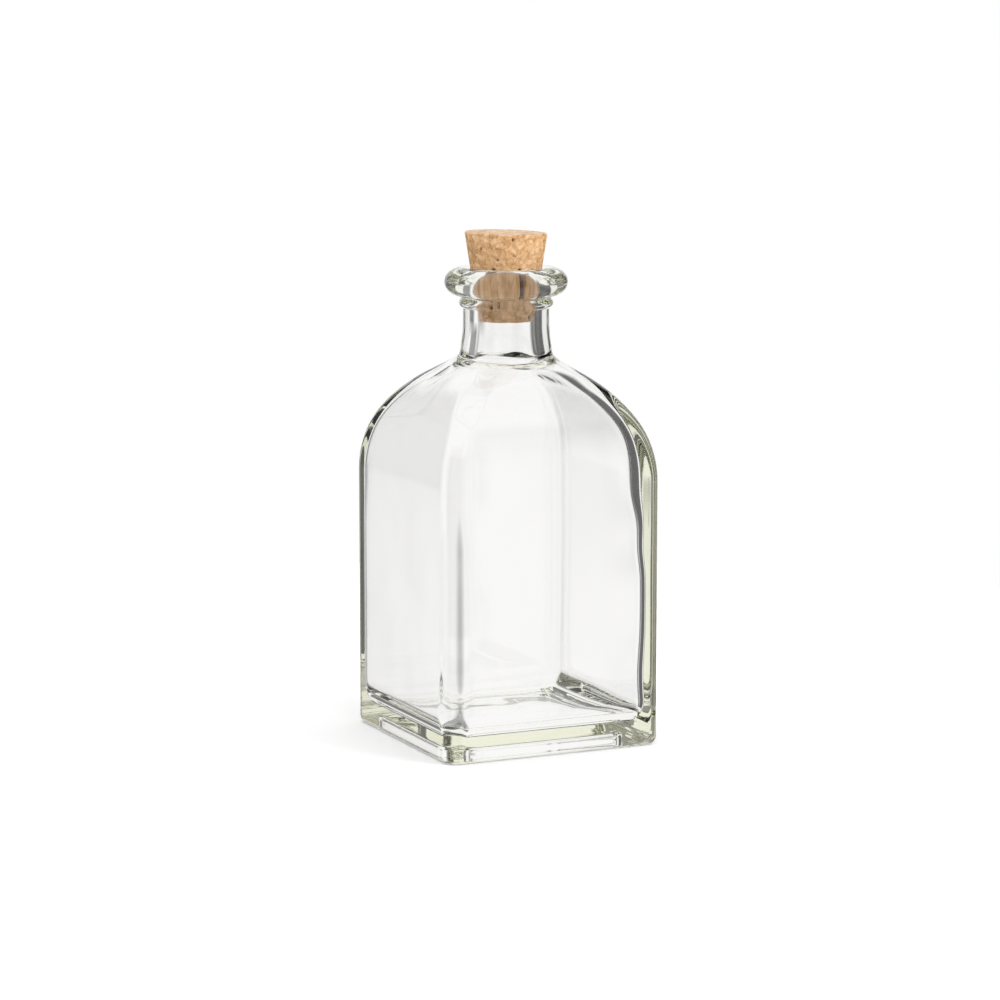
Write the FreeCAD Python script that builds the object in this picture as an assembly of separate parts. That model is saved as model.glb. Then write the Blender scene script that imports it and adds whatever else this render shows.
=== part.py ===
import FreeCAD, Part
import math
import os
from FreeCAD import Vector

# A small square bottle of recycled glass, shut by a tapered cork.
# Frame: millimetres, +Z up, origin at the centre of the base on the surface the bottle stands on.
# The walls are square to X and Y. The bottle is empty.

# ---- Driving dimensions: outside of the body ----
body_width = 67.6            # across two opposite walls
corner_radius = 4.2          # rounding of the upright corners and of the shoulder ridges
heel_radius = 2.2            # rounding between the walls and the underside
straight_height = 76.8       # height at which the walls start to arch inwards
arch_rise = 35.7             # rise of each wall's arch, from the straight wall to its crown

# ---- Inside of the body ----
wall = 3.4                   # glass in the straight walls
crown_wall = 3.8             # glass under the crown of the arches
base_thickness = 6.4         # glass from the standing plane to the inner floor
inner_corner_radius = 5.0    # the inside is rounder than the outside, as in any blown bottle
inner_heel_radius = 4.5      # between the inner walls and the inner floor

# ---- Underside ----
foot_width = 8.5             # from the wall to the recess, heel included
recess_depth = 3.3           # depth of the pushed-up middle of the underside
recess_corner_radius = 5.0
recess_edge_radius = 1.6     # between the sides and the roof of the recess

# ---- Neck ----
neck_root_radius = 13.2      # outside, where the neck leaves the shoulder
neck_waist_radius = 12.5     # outside, under the ring
neck_waist_height = 121.5    # height at which the neck has drawn in to its waist
neck_root_fillet = 5.0       # between neck and shoulder
bore_radius = 8.3            # inside of the neck below the cork
bore_root_fillet = 5.0       # between the bore and the inside of the shoulder

# ---- Finish: the small ring and the rolled lip ----
ring_height = 127.0          # height of the middle of the ring
ring_radius = 13.65          # outside
ring_section_radius = 1.5    # radius of the ring's round section
collar_radius = 13.05        # outside of the short collar between ring and lip
lip_top = 137.2              # height of the glass
lip_radius = 17.9            # outside of the lip
lip_bulge = 4.9              # how far the lip's section reaches out from its middle
lip_thickness = 8.3          # height of the lip's section
mouth_edge_radius = 1.6      # where the lip turns down into the bore

# ---- Cork ----
cork_length = 25.8
cork_top_radius = 12.05
cork_bottom_radius = 8.0
cork_proud = 10.4            # how far the cork stands out of the glass
cork_edge = 0.5              # easing of the cork's two rims
cork_top_slant = 1.4         # degrees, since the top is cut a little out of square
cork_slant_heading = -28.0   # degrees from +X towards +Y, the way the top slopes down
cork_clearance = 0.1         # between the cork and the tapered mouth, measured square to the axis

# ---- Hidden joins ----
crown_cut = 0.6              # the arches end flat inside the neck, at this share of its radius

# ---- Worked out from the sizes above ----
half_width = body_width / 2
inner_half_width = half_width - wall
crown_height = straight_height + arch_rise
cork_top = lip_top + cork_proud
cork_bottom = cork_top - cork_length
cork_slope = (cork_top_radius - cork_bottom_radius) / cork_length


def arch_height(half, spring, rise, reach):
    """Height of an elliptic arch over its springing line, at the distance reach from its middle."""
    return spring + rise * math.sqrt(1 - (reach / half) ** 2)


def arched_slab(half, floor, spring, rise, crown_reach):
    """A square slab whose two X sides rise straight, then arch in to a flat crown."""
    crown = arch_height(half, spring, rise, crown_reach)
    turn = math.acos(crown_reach / half)
    major = max(half, rise)
    minor = min(half, rise)
    ellipse = Part.Ellipse(Vector(0, 0, 0), major, minor)
    upright = 0 if half >= rise else 90
    # The ellipse lies in XZ, with its long axis along X for a flat arch and along Z for a tall one.
    placement = FreeCAD.Placement(Vector(0, 0, spring), FreeCAD.Rotation(Vector(1, 0, 0), 90))
    placement = placement.multiply(
        FreeCAD.Placement(Vector(0, 0, 0), FreeCAD.Rotation(Vector(0, 0, 1), -upright)))
    ellipse.transform(placement.toMatrix())
    start = math.radians(upright)
    right = Part.Arc(ellipse, start, start + turn).toShape()
    left = Part.Arc(ellipse, start + math.pi - turn, start + math.pi).toShape()
    edges = [
        Part.makeLine(Vector(-half, 0, floor), Vector(half, 0, floor)),
        Part.makeLine(Vector(half, 0, floor), Vector(half, 0, spring)),
        right,
        Part.makeLine(Vector(crown_reach, 0, crown), Vector(-crown_reach, 0, crown)),
        left,
        Part.makeLine(Vector(-half, 0, spring), Vector(-half, 0, floor)),
    ]
    face = Part.Face(Part.Wire(edges))
    face.translate(Vector(0, half, 0))
    return face.extrude(Vector(0, -2 * half, 0))


def crossed_arches(half, floor, spring, rise, crown_reach, corner, heel):
    """Two arched slabs at right angles, kept where they cross, with round ridges and a round heel."""
    slab = arched_slab(half, floor, spring, rise, crown_reach)
    across = slab.copy()
    across.rotate(Vector(0, 0, 0), Vector(0, 0, 1), 90)
    body = slab.common(across).removeSplitter()
    body = body.makeFillet(corner, [e for e in body.Edges if is_ridge(e)])
    return body.makeFillet(heel, edges_at_height(body, floor))


def is_ridge(edge):
    """True for an edge that climbs on a diagonal of the square plan."""
    box = edge.BoundBox
    if box.ZLength < 1e-3:
        return False
    middle = edge.valueAt((edge.FirstParameter + edge.LastParameter) / 2)
    return abs(abs(middle.x) - abs(middle.y)) < 1e-3


def edges_at_height(shape, height):
    """The edges that lie flat at one height."""
    return [e for e in shape.Edges
            if e.BoundBox.ZLength < 1e-3 and abs(e.BoundBox.ZMin - height) < 1e-3]


def edges_round_axis(shape, radius, low, high):
    """The edges between two heights that lie on an upright cylinder round the axis."""
    found = []
    for edge in shape.Edges:
        box = edge.BoundBox
        points = edge.discretize(5)
        level = box.ZMin > low and box.ZMax < high
        if level and all(abs(math.hypot(p.x, p.y) - radius) < 0.05 for p in points):
            found.append(edge)
    return found


def revolved(edges):
    """The solid made by turning a closed outline in XZ once round the axis."""
    face = Part.Face(Part.Wire(edges))
    return face.revolve(Vector(0, 0, 0), Vector(0, 0, 1), 360)


def neck_blank():
    """Neck, ring and rolled lip in one turned blank, reaching down into the shoulder."""
    foot = straight_height
    lip_middle = lip_top - lip_thickness / 2
    lip_centre = lip_radius - lip_bulge
    flare_height = crown_height + neck_root_fillet
    waist_mid_height = (flare_height + neck_waist_height) / 2
    # The neck draws in by an arc that is upright where it meets the waist.
    waist_mid_radius = neck_waist_radius + (neck_root_radius - neck_waist_radius) / 4
    flare = Part.Arc(
        Vector(neck_root_radius, 0, flare_height),
        Vector(waist_mid_radius, 0, waist_mid_height),
        Vector(neck_waist_radius, 0, neck_waist_height)).toShape()
    outline = [
        Part.makeLine(Vector(0, 0, foot), Vector(neck_root_radius, 0, foot)),
        Part.makeLine(Vector(neck_root_radius, 0, foot), Vector(neck_root_radius, 0, flare_height)),
        flare,
        Part.makeLine(Vector(neck_waist_radius, 0, neck_waist_height),
                      Vector(neck_waist_radius, 0, ring_height)),
        Part.makeLine(Vector(neck_waist_radius, 0, ring_height),
                      Vector(collar_radius, 0, ring_height)),
        Part.makeLine(Vector(collar_radius, 0, ring_height), Vector(collar_radius, 0, lip_middle)),
        Part.makeLine(Vector(collar_radius, 0, lip_middle), Vector(0, 0, lip_middle)),
        Part.makeLine(Vector(0, 0, lip_middle), Vector(0, 0, foot)),
    ]
    stem = revolved(outline)
    ring = Part.makeTorus(ring_radius - ring_section_radius, ring_section_radius)
    ring.translate(Vector(0, 0, ring_height))
    return stem.fuse([ring, rolled_lip(lip_centre, lip_middle)])


def rolled_lip(centre_radius, middle_height):
    """The lip: an oval bead round the mouth, with a solid middle for the bore to be cut from."""
    oval = Part.Ellipse(Vector(0, 0, 0), lip_bulge, lip_thickness / 2)
    placement = FreeCAD.Placement(Vector(centre_radius, 0, middle_height),
                                  FreeCAD.Rotation(Vector(1, 0, 0), 90))
    oval.transform(placement.toMatrix())
    outside = Part.Arc(oval, -math.pi / 2, math.pi / 2).toShape()
    low = middle_height - lip_thickness / 2
    high = middle_height + lip_thickness / 2
    return revolved([
        outside,
        Part.makeLine(Vector(centre_radius, 0, high), Vector(0, 0, high)),
        Part.makeLine(Vector(0, 0, high), Vector(0, 0, low)),
        Part.makeLine(Vector(0, 0, low), Vector(centre_radius, 0, low)),
    ])


def mouth_radius(height):
    """Radius of the tapered mouth, which follows the cork's taper with its clearance."""
    return cork_bottom_radius + cork_clearance + cork_slope * (height - cork_bottom)


def bore():
    """What is cut out of the neck: the tapered mouth over the straight bore."""
    taper_foot = cork_bottom + (bore_radius - cork_bottom_radius - cork_clearance) / cork_slope
    over = lip_top + cork_proud
    return revolved([
        Part.makeLine(Vector(0, 0, straight_height), Vector(bore_radius, 0, straight_height)),
        Part.makeLine(Vector(bore_radius, 0, straight_height), Vector(bore_radius, 0, taper_foot)),
        Part.makeLine(Vector(bore_radius, 0, taper_foot), Vector(mouth_radius(over), 0, over)),
        Part.makeLine(Vector(mouth_radius(over), 0, over), Vector(0, 0, over)),
        Part.makeLine(Vector(0, 0, over), Vector(0, 0, straight_height)),
    ])


def outside():
    """The bottle's outer form, solid through."""
    body = crossed_arches(half_width, 0, straight_height, arch_rise,
                          neck_root_radius * crown_cut, corner_radius, heel_radius)
    form = body.fuse(neck_blank()).removeSplitter()
    root = edges_round_axis(form, neck_root_radius, straight_height, crown_height)
    return form.makeFillet(neck_root_fillet, root)


def inside():
    """The room inside the bottle, from the inner floor to above the mouth."""
    room = crossed_arches(inner_half_width, base_thickness, straight_height,
                          arch_rise - crown_wall, bore_radius * crown_cut,
                          inner_corner_radius, inner_heel_radius)
    form = room.fuse(bore()).removeSplitter()
    root = edges_round_axis(form, bore_radius, straight_height, crown_height)
    return form.makeFillet(bore_root_fillet, root)


def recess():
    """The pushed-up middle of the underside."""
    half = half_width - foot_width
    block = Part.makeBox(2 * half, 2 * half, 2 * recess_depth, Vector(-half, -half, -recess_depth))
    upright = [e for e in block.Edges if e.BoundBox.ZLength > recess_depth]
    block = block.makeFillet(recess_corner_radius, upright)
    return block.makeFillet(recess_edge_radius, edges_at_height(block, recess_depth))


def glass_bottle():
    """The whole glass, with its mouth edge rounded over."""
    glass = outside().cut(inside()).cut(recess())
    mouth = [e for e in glass.Edges
             if e.BoundBox.ZLength < 1e-3 and e.BoundBox.ZMin > ring_height
             and e.BoundBox.XMax < lip_radius - lip_bulge
             and e.BoundBox.ZMin > lip_top - lip_thickness / 2]
    return glass.makeFillet(mouth_edge_radius, mouth)


def cork_stopper():
    """The cork: a plain taper whose top is cut a little out of square."""
    spare = 2 * cork_top_radius * math.tan(math.radians(cork_top_slant))
    over_radius = cork_top_radius + cork_slope * spare
    blank = Part.makeCone(cork_bottom_radius, over_radius, cork_length + spare,
                          Vector(0, 0, cork_bottom))
    reach = 2 * cork_top_radius
    waste = Part.makeBox(2 * reach, 2 * reach, reach, Vector(-reach, -reach, 0))
    waste.rotate(Vector(0, 0, 0), Vector(0, 1, 0), cork_top_slant)
    waste.rotate(Vector(0, 0, 0), Vector(0, 0, 1), cork_slant_heading)
    middle = cork_top - cork_top_radius * math.tan(math.radians(cork_top_slant))
    waste.translate(Vector(0, 0, middle))
    cork = blank.cut(waste)
    rims = [e for e in cork.Edges if e.isClosed() and not e.isSeam(cork.Faces[0])]
    return cork.makeFillet(cork_edge, rims)


def main():
    os.makedirs("parts", exist_ok=True)
    pieces = {"glass_bottle": glass_bottle(), "cork_stopper": cork_stopper()}
    for name, shape in pieces.items():
        solid = shape.Solids[0]
        box = solid.BoundBox
        print(f"{name}: {len(shape.Solids)} solid, valid {solid.isValid()}, "
              f"{solid.Volume / 1000:.2f} cm3, {len(solid.Faces)} faces, "
              f"z {box.ZMin:.2f} to {box.ZMax:.2f}, width {box.XLength:.2f} x {box.YLength:.2f}")
        solid.exportStep(f"parts/{name}.step")


main()
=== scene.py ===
import math

import bmesh
import bpy
from mathutils import Euler, Matrix, Vector, noise


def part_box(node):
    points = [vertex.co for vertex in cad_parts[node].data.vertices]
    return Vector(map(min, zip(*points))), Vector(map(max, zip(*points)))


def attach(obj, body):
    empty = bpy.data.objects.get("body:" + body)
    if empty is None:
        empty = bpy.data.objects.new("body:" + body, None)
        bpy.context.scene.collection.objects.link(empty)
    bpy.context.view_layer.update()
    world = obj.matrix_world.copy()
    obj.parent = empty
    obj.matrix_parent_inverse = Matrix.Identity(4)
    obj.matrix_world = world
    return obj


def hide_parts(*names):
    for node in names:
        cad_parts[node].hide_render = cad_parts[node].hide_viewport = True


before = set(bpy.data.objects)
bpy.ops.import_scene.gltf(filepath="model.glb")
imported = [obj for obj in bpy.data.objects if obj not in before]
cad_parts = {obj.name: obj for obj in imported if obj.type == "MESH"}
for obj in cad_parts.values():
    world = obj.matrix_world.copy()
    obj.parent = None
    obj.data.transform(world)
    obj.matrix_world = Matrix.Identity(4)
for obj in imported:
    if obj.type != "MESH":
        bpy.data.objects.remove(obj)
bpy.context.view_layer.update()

# A small square bottle of recycled glass, shut by a tapered cork.
# Metres, +Z up. The glass is one skin of rings: up the outside, over the lip,
# down the bore and round the room inside. The cork is a slanted taper of pressed granules.

MM = 0.001

# ---- Outside of the bottle, in metres ----
glass_low, glass_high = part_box("glass_bottle")
cork_low, cork_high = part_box("cork_stopper")
HALF = (glass_high.x - glass_low.x) / 2
LIP_TOP = glass_high.z
CORNER = 4.2 * MM
HEEL = 2.2 * MM
STRAIGHT = 76.8 * MM
ARCH_RISE = 35.7 * MM
FOOT = 8.5 * MM
FOOT_EASE = 0.9 * MM
RECESS = 3.3 * MM
RECESS_CORNER = 5.0 * MM
RECESS_EDGE = 1.6 * MM

# ---- Inside ----
# Glass in the walls on +X, +Y, -X and -Y: blown glass is never even all round.
WALLS = (3.1 * MM, 3.75 * MM, 3.05 * MM, 3.4 * MM)
WALL = sum(WALLS) / 4
ROOM_SHIFT = Vector(((WALLS[2] - WALLS[0]) / 2, (WALLS[3] - WALLS[1]) / 2, 0))
ROOM_STRETCH = Vector((WALL - (WALLS[0] + WALLS[2]) / 2, WALL - (WALLS[1] + WALLS[3]) / 2, 0)) / HALF
CROWN_WALL = 3.6 * MM
BASE = 6.4 * MM
# Inside radius of the four corners, low down and in the shoulder, from +X +Y anticlockwise.
INNER_CORNERS = ((2.6, 2.6), (1.9, 3.0), (5.6, 4.0), (4.0, 6.0))
CORNER_CHANGE = (58 * MM, 74 * MM)
# Thick and thin places in the wall: heading from +X, height, half spreads, extra glass in mm.
THICK_PLACES = ((-45, 20, 9, 9, 0.8), (-45, 58, 9, 6, 1.0),
                (-45, 76, 9, 10, 1.5), (-45, 90, 9, 10, 1.0))
SOFTER_RIDGE = 9.0 * MM      # how much rounder the ridges get towards the neck
INNER_HEEL = 6.5 * MM

# ---- Neck, ring, lip and bore ----
ROOT_RADIUS = 13.35 * MM
WAIST_RADIUS = 12.5 * MM
ROOT_LEVEL = 113.0 * MM
WAIST_LEVEL = 121.5 * MM
ROOT_BLEND = 9.0 * MM
RING_LEVEL = 127.0 * MM
RING_RADIUS = 13.65 * MM
RING_SECTION = 1.5 * MM
COLLAR_RADIUS = 13.05 * MM
BEAD_CENTRE = 13.0 * MM
BEAD_REACH = 4.9 * MM
BEAD_HALF_HEIGHT = 4.15 * MM
MOUTH_EASE = 1.6 * MM
BORE = 8.3 * MM
BORE_BLEND = 15.0 * MM
BORE_FLARE = 0.9 * MM        # how much the bore opens towards the shoulder
FIT = 0.1 * MM

# ---- Cork ----
CORK_TOP_RADIUS = 12.05 * MM
CORK_FOOT_RADIUS = 8.0 * MM
CORK_EASE = 0.5 * MM
CORK_SLANT = math.radians(1.4)
CORK_SLANT_HEADING = math.radians(-28.0)
CORK_MIDDLE = LIP_TOP + 10.37 * MM - CORK_TOP_RADIUS * math.tan(CORK_SLANT)
CORK_TAPER = (CORK_TOP_RADIUS - CORK_FOOT_RADIUS) / (25.8 * MM)

FLOOR_RINGS = 12
ROUND_STEPS = 240            # points in each ring of the glass
CORNER_CROWDING = 0.75       # how much closer they stand at the corners
CORK_STEPS = 360


def eased(low, high, value):
    """0 below low, 1 above high, smooth between."""
    share = min(max((value - low) / (high - low), 0.0), 1.0)
    return share * share * (3 - 2 * share)


def softer_max(first, second, blend):
    """The larger of two values, rounded over where they are within blend of each other."""
    overlap = max(blend - abs(first - second), 0.0) / blend
    return max(first, second) + overlap * overlap * blend / 4


def square_reach(angle, half, across, along):
    """Distance from the axis to a square with round corners, in the direction of angle.

    The corners are elliptical: across is half their width over the diagonal, along their
    length on it. The two are the same in an upright wall."""
    turn = angle % (math.pi / 2)
    from_diagonal = abs(math.pi / 4 - turn)
    flat = half / math.cos(math.pi / 4 - from_diagonal)
    span = math.hypot(along, across)
    centre = half * math.sqrt(2) - span
    edge_turn = math.atan2(across * across / span, centre + along * along / span)
    if from_diagonal >= edge_turn:
        return flat
    cosine = math.cos(from_diagonal)
    sine = math.sin(from_diagonal)
    a = (cosine / along) ** 2 + (sine / across) ** 2
    b = -2 * cosine * centre / along ** 2
    c = (centre / along) ** 2 - 1
    return (-b + math.sqrt(max(b * b - 4 * a * c, 0.0))) / (2 * a)


def square_ring(half, corner, level):
    """A ring in an upright wall or a level floor: half width, corner radius and height."""
    corner = min(corner, half)
    return lambda angle: (square_reach(angle, half, corner, corner), level)


def inner_corner(angle, level):
    """Inside radius of the corner on this side of the room at a height."""
    low, high = INNER_CORNERS[int(angle % math.tau // (math.pi / 2))]
    return (low + (high - low) * eased(*CORNER_CHANGE, level)) * MM


def room_ring(half, inset, level):
    """A ring round the room inside, with its four different corners."""
    def spot(angle):
        corner = max(inner_corner(angle, level) - inset, 0.6 * MM)
        return square_reach(angle, half - inset, corner, corner), level
    return spot


def arch_ring(half, rise, corner, turn, neck, blend):
    """A ring round the crossed arches at the angle turn up their ellipse, run into the neck."""
    lean = math.atan2(half * math.sin(turn), rise * math.cos(turn))
    stretch = math.sqrt(1 + math.sin(lean) ** 2) / math.cos(lean)
    softer = SOFTER_RIDGE * eased(0.35, 1.25, turn)
    level = STRAIGHT + rise * math.sin(turn)
    reach = half * math.cos(turn)
    round_radius = neck(level)

    def spot(angle):
        ridge = corner(angle, level) + softer
        body = square_reach(angle, reach, ridge, ridge * stretch)
        return softer_max(body, round_radius, blend), level
    return spot


def round_ring(radius, level):
    """A plain circle round the axis."""
    return lambda angle: (radius, level)


def neck_radius(level):
    """Outside of the neck, drawing in from its root to its waist."""
    share = min(max((WAIST_LEVEL - level) / (WAIST_LEVEL - ROOT_LEVEL), 0.0), 1.3)
    return WAIST_RADIUS + (ROOT_RADIUS - WAIST_RADIUS) * share ** 1.6


def finish_radius(level):
    """Outside from the waist to the foot of the lip: neck, ring and collar."""
    stem = WAIST_RADIUS if level < RING_LEVEL else COLLAR_RADIUS
    off = abs(level - RING_LEVEL)
    if off >= RING_SECTION:
        return stem
    bulge = RING_RADIUS - RING_SECTION + math.sqrt(RING_SECTION ** 2 - off ** 2)
    return softer_max(stem, bulge, 0.5 * MM)


def mouth_radius(level):
    """Inside of the tapered mouth, which follows the cork with its fit."""
    return CORK_FOOT_RADIUS + FIT + CORK_TAPER * (level - cork_low.z)


def bore_radius(level):
    """Inside of the neck: the tapered mouth, the bore, and its opening towards the shoulder."""
    opening = min(max(cork_low.z - 1.0 * MM - level, 0.0) / (9 * MM), 1.4)
    return softer_max(mouth_radius(level), BORE, 0.35 * MM) + BORE_FLARE * opening ** 2


def steps(count, start=0.0, end=1.0):
    """Even steps from start to end, the first left out."""
    return [start + (end - start) * (i + 1) / count for i in range(count)]


def outside_rings():
    """From the middle of the underside, out over the foot and up to the neck's waist."""
    rings = []
    roof = HALF - FOOT - RECESS_EDGE
    roof_corner = RECESS_CORNER - RECESS_EDGE
    for share in steps(8):
        half = roof * share
        rings.append(square_ring(half, half + (roof_corner - half) * share ** 2, RECESS))
    for turn in steps(6, 0, math.pi / 2):
        out = RECESS_EDGE * math.sin(turn)
        rings.append(square_ring(roof + out, roof_corner + out,
                                 RECESS - RECESS_EDGE * (1 - math.cos(turn))))
    for turn in steps(6, 0, math.pi / 2):
        out = FOOT_EASE * (1 - math.cos(turn))
        rings.append(square_ring(HALF - FOOT + out, RECESS_CORNER + out,
                                 FOOT_EASE * (1 - math.sin(turn))))
    foot_start = HALF - FOOT + FOOT_EASE
    for share in steps(4):
        half = foot_start + (HALF - HEEL - foot_start) * share
        corner = RECESS_CORNER + FOOT_EASE
        rings.append(square_ring(half, corner + (CORNER - HEEL - corner) * share, 0.0))
    for turn in steps(12, 0, math.pi / 2):
        inset = HEEL * (1 - math.sin(turn))
        rings.append(square_ring(HALF - inset, CORNER - inset, HEEL * (1 - math.cos(turn))))
    for level in steps(26, HEEL, STRAIGHT):
        rings.append(square_ring(HALF, CORNER, level))
    for turn in steps(60, 0, math.radians(80)):
        rings.append(arch_ring(HALF, ARCH_RISE, lambda angle, level: CORNER, turn,
                               neck_radius, ROOT_BLEND))
    start = STRAIGHT + ARCH_RISE * math.sin(math.radians(80))
    for level in steps(16, start, RING_LEVEL - RING_SECTION - 0.4 * MM):
        rings.append(round_ring(neck_radius(level), level))
    return rings


def lip_rings():
    """Ring, collar, rolled lip and the turn into the mouth."""
    rings = []
    bead_level = LIP_TOP - BEAD_HALF_HEIGHT
    bead_foot = bead_level - BEAD_HALF_HEIGHT
    for level in steps(26, RING_LEVEL - RING_SECTION - 0.4 * MM, bead_foot - 0.4 * MM):
        rings.append(round_ring(finish_radius(level), level))
    for turn in steps(4, 0, math.pi / 2):
        ease = 0.4 * MM
        rings.append(round_ring(COLLAR_RADIUS + ease * (1 - math.cos(turn)),
                                bead_foot - ease * (1 - math.sin(turn))))
    start = -math.acos(0.9 * MM / BEAD_REACH)
    for turn in steps(34, start, math.pi / 2):
        rings.append(round_ring(BEAD_CENTRE + BEAD_REACH * math.cos(turn),
                                bead_level + BEAD_HALF_HEIGHT * math.sin(turn)))
    lean = math.atan(CORK_TAPER)
    ease_level = LIP_TOP - MOUTH_EASE
    ease_centre = mouth_radius(ease_level) + MOUTH_EASE / math.cos(lean)
    rings.append(round_ring((BEAD_CENTRE + ease_centre) / 2, LIP_TOP))
    for turn in steps(9, 0, math.pi / 2 - lean):
        rings.append(round_ring(ease_centre - MOUTH_EASE * math.sin(turn),
                                ease_level + MOUTH_EASE * math.cos(turn)))
    return rings


def inside_rings():
    """Down the bore, under the shoulder, down the walls and over the inner floor."""
    rings = []
    rise = ARCH_RISE - CROWN_WALL
    half = HALF - WALL
    top = math.radians(82)
    for level in steps(24, LIP_TOP - MOUTH_EASE, STRAIGHT + rise * math.sin(top)):
        rings.append(round_ring(bore_radius(level), level))
    for turn in steps(60, top, 0.0):
        rings.append(arch_ring(half, rise, inner_corner, turn, bore_radius, BORE_BLEND))
    for level in steps(34, STRAIGHT, BASE + INNER_HEEL):
        rings.append(room_ring(half, 0.0, level))
    for turn in steps(14, 0, math.pi / 2):
        rings.append(room_ring(half, INNER_HEEL * (1 - math.cos(turn)),
                               BASE + INNER_HEEL * (1 - math.sin(turn))))
    for share in steps(FLOOR_RINGS, 1.0, 0.03):
        size = (half - INNER_HEEL) * share
        rings.append(square_ring(size, size * (1 - share ** 2) + 3 * MM * share ** 2, BASE))
    return rings


def crowded(angle):
    """Moves an even angle so that the points stand closer at the four corners."""
    return angle + CORNER_CROWDING / 4 * math.sin(4 * angle)


def skin_of_rings(name, rings, point_count, crowd, shape):
    """A closed mesh drawn out ring by ring, its ends gathered to a point on the axis."""
    mesh = bmesh.new()
    heading = mesh.verts.layers.float.new("heading")
    bmesh.ops.create_circle(mesh, segments=point_count, radius=MM)
    for vert in mesh.verts:
        vert[heading] = crowd(math.atan2(vert.co.y, vert.co.x))
        vert.co = shape(0, vert[heading], *rings[0](vert[heading]))
    first = list(mesh.verts)
    edges = list(mesh.edges)
    for index, ring in enumerate(rings[1:], start=1):
        drawn = bmesh.ops.extrude_edge_only(mesh, edges=edges)["geom"]
        edges = [g for g in drawn if isinstance(g, bmesh.types.BMEdge) and g.is_boundary]
        verts = [g for g in drawn if isinstance(g, bmesh.types.BMVert)]
        for vert in verts:
            vert.co = shape(index, vert[heading], *ring(vert[heading]))
    last = list({v for e in edges for v in e.verts})
    for end in (first, last):
        middle = sum((v.co for v in end), Vector()) / len(end)
        closing = [e for e in mesh.edges if e.is_boundary and e.verts[0] in end]
        cap = bmesh.ops.extrude_edge_only(mesh, edges=closing)["geom"]
        points = [g for g in cap if isinstance(g, bmesh.types.BMVert)]
        bmesh.ops.pointmerge(mesh, verts=points, merge_co=middle)
    mesh.verts.layers.float.remove(heading)
    bmesh.ops.recalc_face_normals(mesh, faces=mesh.faces)
    for face in mesh.faces:
        face.smooth = True
    return mesh


def into_object(mesh, name):
    """Hands a finished bmesh over to an object of its own."""
    data = bpy.data.meshes.new(name)
    mesh.to_mesh(data)
    mesh.free()
    thing = bpy.data.objects.new(name, data)
    bpy.context.scene.collection.objects.link(thing)
    return thing


# ---- The hand-made unevenness of the glass ----

def wave(angle, level, scale, seed):
    """Slow unevenness over a wall, from -1 to 1."""
    spot = Vector((math.cos(angle) * 34 * MM, math.sin(angle) * 34 * MM, level)) / scale
    return noise.noise(spot + Vector((seed, seed * 0.7, 0)))


def extra_glass(angle, level):
    """How much thicker the wall is at a place, from the list of thick and thin places."""
    extra = 0.0
    for heading, height, turn_spread, height_spread, depth in THICK_PLACES:
        turn = (math.degrees(angle) - heading + 180) % 360 - 180
        off = (turn / turn_spread) ** 2 + ((level / MM - height) / height_spread) ** 2
        extra += depth * MM * math.exp(-off)
    return extra


def glass_shape(first_inside, bore_end, room_end):
    """The rule that puts each point of the glass in place, with its small unevenness."""
    def place(index, angle, radius, level):
        sway = 0.0
        lift = 0.0
        held = 0.0
        if index < first_inside and radius > ROOT_RADIUS + 2 * MM and level > HEEL:
            sway = 0.04 * MM * (wave(angle, level, 30 * MM, 3.0) - 1)
        elif bore_end <= index < room_end:
            held = eased(LIP_TOP - 30 * MM, STRAIGHT, level) if level > STRAIGHT else 1.0
            sway = 0.12 * MM * held * wave(angle, level, 26 * MM, 11.0)
            sway += 0.03 * MM * held * wave(angle, level, 10 * MM, 17.0)
            sway -= held * extra_glass(angle, level)
        elif index >= room_end:
            calm = eased(2 * MM, 12 * MM, radius)
            held = 1.0
            lift = 0.15 * MM * calm * noise.noise(
                Vector((radius * math.cos(angle), radius * math.sin(angle), 0)) / (13 * MM))
        spot = (radius + sway) * Vector((math.cos(angle), math.sin(angle), 0))
        spot += held * (ROOM_SHIFT + spot * ROOM_STRETCH)
        return spot + Vector((0, 0, level + lift))
    return place


def build_bottle():
    """The glass bottle as one closed skin."""
    outer = outside_rings()
    lip = lip_rings()
    inner = inside_rings()
    first_inside = len(outer) + len(lip)
    place = glass_shape(first_inside, first_inside + 24, len(outer) + len(lip) + len(inner) - FLOOR_RINGS)
    mesh = skin_of_rings("bottle", outer + lip + inner, ROUND_STEPS, crowded, place)
    return into_object(mesh, "bottle_glass")


# ---- Cork ----

def cork_top_level(across, along):
    """Height of the slanted top over a point."""
    heading = Vector((math.cos(CORK_SLANT_HEADING), math.sin(CORK_SLANT_HEADING)))
    return CORK_MIDDLE - math.tan(CORK_SLANT) * (across * heading.x + along * heading.y)


def chance(spot):
    """A steady random value from 0 to 1 for a place."""
    return noise.cell(spot) / 2 + 0.5


def granules(spot):
    """Tone, seam and pit of the pressed cork at a point: three values from 0 to 1. The pit value sinks
    the mesh and also sets the painted shade in the hole.
    """
    warp = noise.noise_vector(spot / (2.1 * MM)) * 0.45
    coarse = spot / (1.75 * MM) + warp
    far, centres = noise.voronoi(coarse)
    tone = chance(centres[0] * 7.3)
    seam = 1 - eased(0.02, 0.16, far[1] - far[0])
    fine = spot / (0.85 * MM) + warp * 1.5
    near, specks = noise.voronoi(fine)
    speck = chance(specks[0] * 5.1)
    tone = 0.62 * tone + 0.38 * speck
    pit = 0.0
    if chance(centres[0] * 3.7 + Vector((5, 1, 2))) > 0.955:
        pit = 1 - eased(0.25, 0.5, far[0])
    if speck > 0.93 and chance(specks[0] * 2.3) > 0.55:
        pit = max(pit, 0.8 * (1 - eased(0.2, 0.45, near[0])))
    return tone, seam, pit


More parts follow.
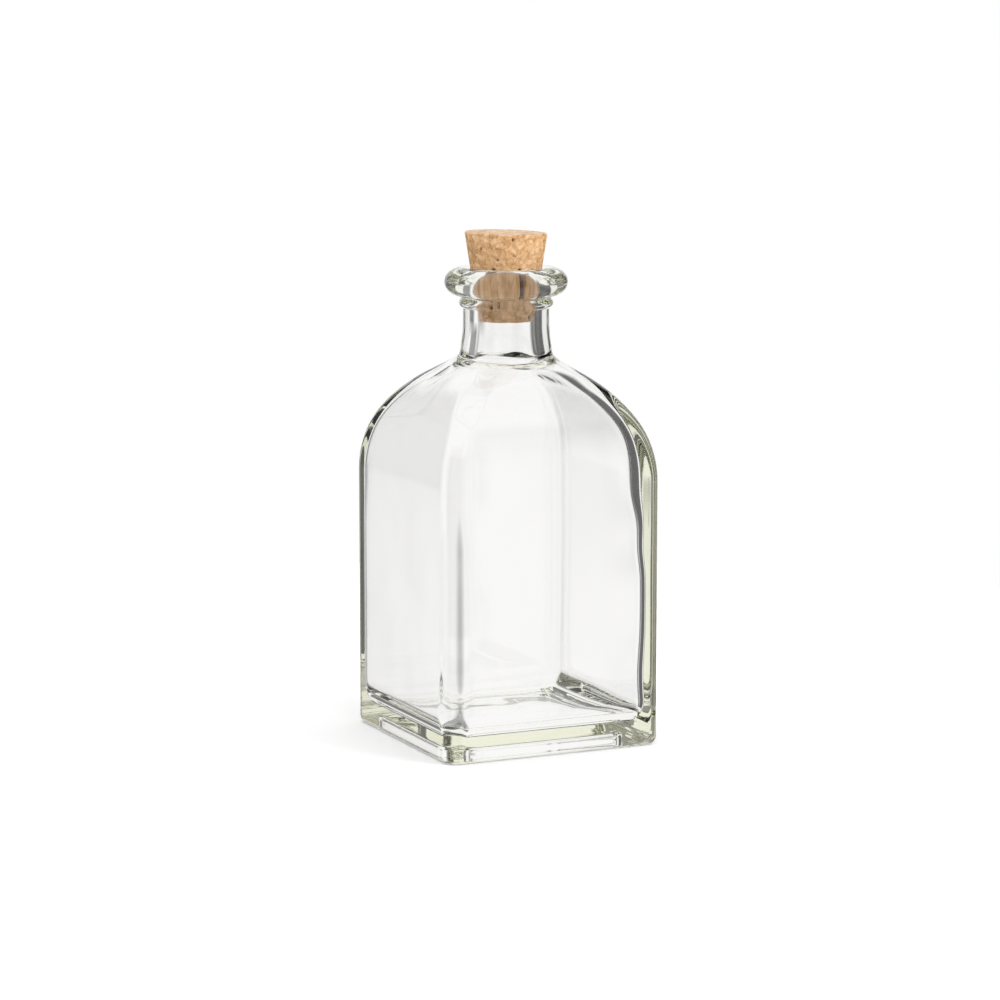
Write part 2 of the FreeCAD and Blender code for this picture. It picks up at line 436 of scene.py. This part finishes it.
def build_cork():
    """The cork: granules stand a little proud of each other, and some have left a pit."""
    foot = cork_low.z
    rings = []
    for share in steps(10, 0.05, 1.0):
        rings.append(("foot", share))
    for share in steps(5, 0, 1):
        rings.append(("low", share))
    for share in steps(124, 0, 1):
        rings.append(("side", share))
    for share in steps(5, 0, 1):
        rings.append(("high", share))
    for share in steps(56, 1.0, 0.01):
        rings.append(("top", share))

    def place(index, angle, _radius, _level):
        zone, share = rings[index]
        ring = Vector((math.cos(angle), math.sin(angle), 0))
        if zone == "foot":
            return ring * (CORK_FOOT_RADIUS - CORK_EASE) * share + Vector((0, 0, foot))
        if zone == "low":
            turn = share * math.pi / 2
            radius = CORK_FOOT_RADIUS - CORK_EASE * (1 - math.sin(turn))
            return ring * radius + Vector((0, 0, foot + CORK_EASE * (1 - math.cos(turn))))
        rim = cork_top_level(ring.x * CORK_TOP_RADIUS, ring.y * CORK_TOP_RADIUS)
        low = foot + CORK_EASE
        if zone == "side":
            level = low + (rim - CORK_EASE - low) * share
            return ring * (CORK_FOOT_RADIUS + CORK_TAPER * (level - foot)) + Vector((0, 0, level))
        edge = CORK_FOOT_RADIUS + CORK_TAPER * (rim - CORK_EASE - foot)
        if zone == "high":
            turn = share * math.pi / 2
            radius = edge - CORK_EASE * (1 - math.cos(turn))
            return ring * radius + Vector((0, 0, rim - CORK_EASE * (1 - math.sin(turn))))
        spot = ring * (edge - CORK_EASE) * share
        return spot + Vector((0, 0, cork_top_level(spot.x, spot.y)))

    flat = [round_ring(MM, 0.0)] * len(rings)
    mesh = skin_of_rings("cork", flat, CORK_STEPS, lambda angle: angle, place)
    tone_layer = mesh.verts.layers.float.new("granule_tone")
    seam_layer = mesh.verts.layers.float.new("granule_seam")
    # granule_pit sinks the mesh into real pits and also drives the painted shade coloured into them.
    pit_layer = mesh.verts.layers.float.new("granule_pit")
    mesh.normal_update()
    for vert in mesh.verts:
        tone, seam, pit = granules(vert.co)
        vert[tone_layer] = tone
        vert[seam_layer] = seam
        vert[pit_layer] = pit
    for vert in mesh.verts:
        cut = eased(0.6, 0.9, vert.normal.z)
        step = 0.10 * MM * noise.noise(vert.co / (1.3 * MM))
        sink = 0.07 * MM * vert[seam_layer] + 0.6 * MM * vert[pit_layer]
        sink = sink * (1 - 0.55 * cut) + max(step, 0.0) * (1 - 0.8 * cut)
        vert.co -= vert.normal * sink
    for face in mesh.faces:
        if face.normal.z > 0.75 and face.calc_center_median().z > LIP_TOP:
            face.material_index = 1
    return into_object(mesh, "cork")


# ---- Materials ----

class Nodes:
    """Short calls for placing and wiring the nodes of one tree."""

    def __init__(self, tree):
        self.tree = tree

    def add(self, kind, inputs=(), **values):
        node = self.tree.nodes.new(kind)
        for name, value in values.items():
            setattr(node, name, value)
        for key, value in dict(inputs).items():
            if isinstance(value, bpy.types.NodeSocket):
                self.tree.links.new(value, node.inputs[key])
            else:
                node.inputs[key].default_value = value
        return node

    def math(self, operation, first, second=0.5, clamp=False):
        node = self.add("ShaderNodeMath", {0: first, 1: second}, operation=operation)
        node.use_clamp = clamp
        return node.outputs[0]

    def ramp(self, value, low, high, start=0.0, end=1.0):
        inputs = {"Value": value, "From Min": low, "From Max": high, "To Min": start, "To Max": end}
        return self.add("ShaderNodeMapRange", inputs).outputs[0]

    def mix(self, share, first, second, blend="MIX"):
        node = self.add("ShaderNodeMix", data_type="RGBA", blend_type=blend)
        for key, value in ((0, share), (6, first), (7, second)):
            if isinstance(value, bpy.types.NodeSocket):
                self.tree.links.new(value, node.inputs[key])
            else:
                node.inputs[key].default_value = value
        return node.outputs[2]


def new_material(name):
    """An empty material and its nodes."""
    material = bpy.data.materials.new(name)
    material.use_nodes = True
    material.node_tree.nodes.clear()
    nodes = Nodes(material.node_tree)
    output = nodes.add("ShaderNodeOutputMaterial")
    return material, nodes, output


def olive_glass():
    """Clear recycled glass: plain transmission, with a faint olive in its depth."""
    material, nodes, output = new_material("olive_clear_glass")
    glass = nodes.add("ShaderNodeBsdfPrincipled", {
        "Base Color": (1.0, 1.0, 1.0, 1.0), "Roughness": 0.0, "IOR": 1.508,
        "Transmission Weight": 1.0})
    depth = nodes.add("ShaderNodeVolumeAbsorption", {
        "Color": (0.66, 0.70, 0.0, 1.0), "Density": 4.4})
    link = nodes.tree.links.new
    link(glass.outputs[0], output.inputs["Surface"])
    link(depth.outputs[0], output.inputs["Volume"])
    return material


def granule_group():
    """Colour, roughness and height of pressed cork, shared by its side and its cut top; the colour holds
    painted shade in the pits.
    """
    group = bpy.data.node_groups.new("pressed_cork", "ShaderNodeTree")
    face = group.interface
    for name, kind, value in (
            ("Dark", "NodeSocketColor", (0.45, 0.25, 0.11, 1)),
            ("Middle", "NodeSocketColor", (0.69, 0.41, 0.20, 1)),
            ("Light", "NodeSocketColor", (0.86, 0.56, 0.32, 1)),
            ("Seam Strength", "NodeSocketFloat", 0.4),
            ("Pit Painted Shade", "NodeSocketFloat", 1.0)):
        socket = face.new_socket(name, in_out="INPUT", socket_type=kind)
        socket.default_value = value
    face.new_socket("Color", in_out="OUTPUT", socket_type="NodeSocketColor")
    face.new_socket("Roughness", in_out="OUTPUT", socket_type="NodeSocketFloat")
    face.new_socket("Height", in_out="OUTPUT", socket_type="NodeSocketFloat")
    nodes = Nodes(group)
    inlet = nodes.add("NodeGroupInput").outputs
    outlet = nodes.add("NodeGroupOutput")
    place = nodes.add("ShaderNodeTexCoord").outputs["Object"]
    tone = nodes.add("ShaderNodeAttribute", attribute_name="granule_tone").outputs["Fac"]
    seam = nodes.add("ShaderNodeAttribute", attribute_name="granule_seam").outputs["Fac"]
    pit = nodes.add("ShaderNodeAttribute", attribute_name="granule_pit").outputs["Fac"]
    grain = nodes.add("ShaderNodeTexNoise", {
        "Vector": place, "Scale": 1500.0, "Detail": 3.0, "Roughness": 0.6}).outputs["Fac"]
    patch = nodes.add("ShaderNodeTexNoise", {
        "Vector": place, "Scale": 260.0, "Detail": 2.0}).outputs["Fac"]
    mixed = nodes.math("ADD", tone, nodes.ramp(grain, 0.3, 0.7, -0.22, 0.22))
    mixed = nodes.math("ADD", mixed, nodes.ramp(patch, 0.3, 0.7, -0.14, 0.14), clamp=True)
    low = nodes.mix(nodes.ramp(mixed, 0.0, 0.42), inlet["Dark"], inlet["Middle"])
    colour = nodes.mix(nodes.ramp(mixed, 0.42, 0.95), low, inlet["Light"])
    seam_share = nodes.math("MULTIPLY", seam, inlet["Seam Strength"])
    seam_share = nodes.math("MULTIPLY", seam_share, nodes.ramp(patch, 0.35, 0.6), clamp=True)
    colour = nodes.mix(seam_share, colour, (0.30, 0.15, 0.055, 1))
    # Painted shade: the pits are coloured near black, standing in for the shade inside the holes.
    pit_painted_shade = nodes.math("MULTIPLY", pit, inlet["Pit Painted Shade"], clamp=True)
    colour = nodes.mix(pit_painted_shade, colour, (0.10, 0.04, 0.012, 1))
    link = group.links.new
    link(colour, outlet.inputs["Color"])
    link(nodes.ramp(mixed, 0.0, 1.0, 0.95, 0.78), outlet.inputs["Roughness"])
    link(nodes.math("ADD", grain, tone), outlet.inputs["Height"])
    return group


def cork_material(name, group, values, bump):
    """Matte pressed cork with its own colours."""
    material, nodes, output = new_material(name)
    cork = nodes.add("ShaderNodeGroup", node_tree=group)
    for key, value in values.items():
        cork.inputs[key].default_value = value
    relief = nodes.add("ShaderNodeBump", {
        "Strength": bump, "Distance": 0.1 * MM, "Height": cork.outputs["Height"]})
    shader = nodes.add("ShaderNodeBsdfPrincipled", {
        "Base Color": cork.outputs["Color"], "Roughness": cork.outputs["Roughness"],
        "Specular IOR Level": 0.25, "Normal": relief.outputs["Normal"]})
    nodes.tree.links.new(shader.outputs[0], output.inputs["Surface"])
    return material


def floor_material():
    """Pale plain floor, seen as white, that keeps the bottle's shadow.

    The glass sees the white surround in its place."""
    material, nodes, output = new_material("pale_floor")
    path = nodes.add("ShaderNodeLightPath").outputs
    shader = nodes.add("ShaderNodeBsdfPrincipled", {
        "Base Color": (0.93, 0.93, 0.93, 1.0), "Roughness": 0.9, "Specular IOR Level": 0.1,
        "Emission Color": (1.0, 1.0, 1.0, 1.0),
        "Emission Strength": nodes.math("MULTIPLY", path["Is Camera Ray"], FLOOR_LIFT)})
    sheer = nodes.add("ShaderNodeBsdfTransparent")
    glassy = nodes.math("MAXIMUM", path["Is Glossy Ray"], path["Is Transmission Ray"])
    blend = nodes.add("ShaderNodeMixShader", {
        0: glassy, 1: shader.outputs[0], 2: sheer.outputs[0]})
    nodes.tree.links.new(blend.outputs[0], output.inputs["Surface"])
    return material


# ---- Studio ----

FLOOR_RADIUS = 0.30
FLOOR_LIFT = 0.08
ROOM_LIGHT = 0.66            # even light on matt surfaces from the white surround
# Darker bands in the white surround, seen in the glass alone, give its edges their lines:
# heading from +Y towards +X, half width of the full dark and of the whole band in degrees,
# how dark it gets, and the lowest and highest rise of the rays that see it.
BANDS = ((-8, 7, 19, 0.85, -0.7, -0.14), (-23, 13, 19, 0.7, -0.14, 0.5),
         (78, 26, 33, 0.9, -0.7, 0.7), (141, 6, 14, 0.7, -0.3, 0.7),
         (175, 10, 17, 0.9, -0.3, 0.7), (205, 15, 30, 0.4, -0.7, 0.7),
         (255, 14, 22, 0.85, -0.7, 0.7), (222, 30, 40, 0.8, -1.0, -0.75))
BAND_SOFTNESS = 0.04
SURROUND_TINT = (0.965, 0.96, 0.975, 1.0)


def build_world():
    """White surround: plain for the eye, softer for matt surfaces, banded for the glass."""
    world = bpy.data.worlds.new("white_surround")
    world.use_nodes = True
    world.node_tree.nodes.clear()
    nodes = Nodes(world.node_tree)
    path = nodes.add("ShaderNodeLightPath").outputs
    way = nodes.add("ShaderNodeTexCoord").outputs["Generated"]
    rise = nodes.add("ShaderNodeSeparateXYZ", {0: way}).outputs["Z"]
    level = nodes.add("ShaderNodeVectorMath", {0: way, 1: (1, 1, 0)}, operation="MULTIPLY")
    level = nodes.add("ShaderNodeVectorMath", {0: level.outputs[0]}, operation="NORMALIZE")
    clear = 1.0
    for heading, inner, outer, depth, lowest, highest in BANDS:
        aim = (math.sin(math.radians(heading)), math.cos(math.radians(heading)), 0)
        facing = nodes.add("ShaderNodeVectorMath", {0: level.outputs[0], 1: aim},
                           operation="DOT_PRODUCT").outputs["Value"]
        band = nodes.ramp(facing, math.cos(math.radians(outer)), math.cos(math.radians(inner)),
                          0.0, depth)
        above = nodes.ramp(rise, lowest - BAND_SOFTNESS, lowest + BAND_SOFTNESS)
        below = nodes.ramp(rise, highest + BAND_SOFTNESS, highest - BAND_SOFTNESS)
        band = nodes.math("MULTIPLY", band, nodes.math("MULTIPLY", above, below))
        clear = nodes.math("MULTIPLY", nodes.math("SUBTRACT", 1.0, band), clear)
    clear = nodes.mix(1.0, clear, SURROUND_TINT, "MULTIPLY")
    banded = nodes.mix(nodes.math("GREATER_THAN", path["Diffuse Depth"]), clear, (1, 1, 1, 1))
    glassy = nodes.math("MAXIMUM", path["Is Glossy Ray"], path["Is Transmission Ray"])
    strength = nodes.mix(glassy, (ROOM_LIGHT, ROOM_LIGHT, ROOM_LIGHT, 1), banded)
    strength = nodes.mix(path["Is Camera Ray"], strength, (1, 1, 1, 1))
    background = nodes.add("ShaderNodeBackground", {"Color": strength, "Strength": 1.0})
    output = nodes.add("ShaderNodeOutputWorld")
    nodes.tree.links.new(background.outputs[0], output.inputs["Surface"])
    bpy.context.scene.world = world


def build_floor():
    """A round pale floor."""
    mesh = bmesh.new()
    bmesh.ops.create_circle(mesh, cap_ends=True, segments=128, radius=FLOOR_RADIUS)
    floor = into_object(mesh, "floor")
    floor.data.materials.append(floor_material())


def soft_lamp(name, place, size, power):
    """A square soft lamp that looks at the bottle and doesn't show in the glass."""
    lamp = bpy.data.lights.new(name, "AREA")
    lamp.size = size
    lamp.energy = power
    holder = bpy.data.objects.new(name, lamp)
    holder.location = place
    holder.rotation_euler = (Vector((0, 0, 0.08)) - Vector(place)).to_track_quat("-Z", "Y").to_euler()
    holder.visible_glossy = False
    holder.visible_transmission = False
    holder.visible_camera = False
    bpy.context.scene.collection.objects.link(holder)


def build_camera():
    """The camera, standing in front of the near corner and looking a little down."""
    lens = bpy.data.cameras.new("camera")
    lens.sensor_width = 36.0
    lens.lens = CAMERA_LENS
    lens.clip_start = 0.01
    holder = bpy.data.objects.new("camera", lens)
    heading = math.radians(CAMERA_HEADING)
    holder.location = (-CAMERA_DISTANCE * math.sin(heading), -CAMERA_DISTANCE * math.cos(heading),
                       CAMERA_HEIGHT)
    holder.rotation_euler = Euler((math.radians(90 - CAMERA_TILT), 0,
                                   -heading + math.radians(CAMERA_PAN)))
    bpy.context.scene.collection.objects.link(holder)
    bpy.context.scene.camera = holder


CAMERA_LENS = 117.6
CAMERA_HEADING = 25.0        # degrees from +Y towards +X
CAMERA_DISTANCE = 0.942
CAMERA_HEIGHT = 0.212
CAMERA_TILT = 8.62
CAMERA_PAN = 0.108

bottle = build_bottle()
bottle.data.materials.append(olive_glass())
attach(bottle, "root")
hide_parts("glass_bottle")

cork = build_cork()
pressed = granule_group()
cork.data.materials.append(cork_material("pressed_cork_side", pressed, {}, 0.35))
cork.data.materials.append(cork_material("pressed_cork_top", pressed, {
    "Dark": (0.40, 0.27, 0.17, 1), "Middle": (0.55, 0.39, 0.26, 1),
    "Light": (0.70, 0.52, 0.38, 1), "Seam Strength": 0.25, "Pit Painted Shade": 0.8}, 0.2))
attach(cork, "root")
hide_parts("cork_stopper")

build_floor()
build_world()
soft_lamp("key_lamp", (0.75, -0.75, 0.95), 0.8, 9.0)
soft_lamp("top_lamp", (-0.2, 0.1, 1.2), 0.9, 6.0)
soft_lamp("front_lamp", (-0.35, -1.15, 0.35), 0.6, 3.5)
build_camera()

scene = bpy.context.scene
scene.view_settings.view_transform = "Standard"
scene.cycles.max_bounces = 32
scene.cycles.transmission_bounces = 32
scene.cycles.glossy_bounces = 12
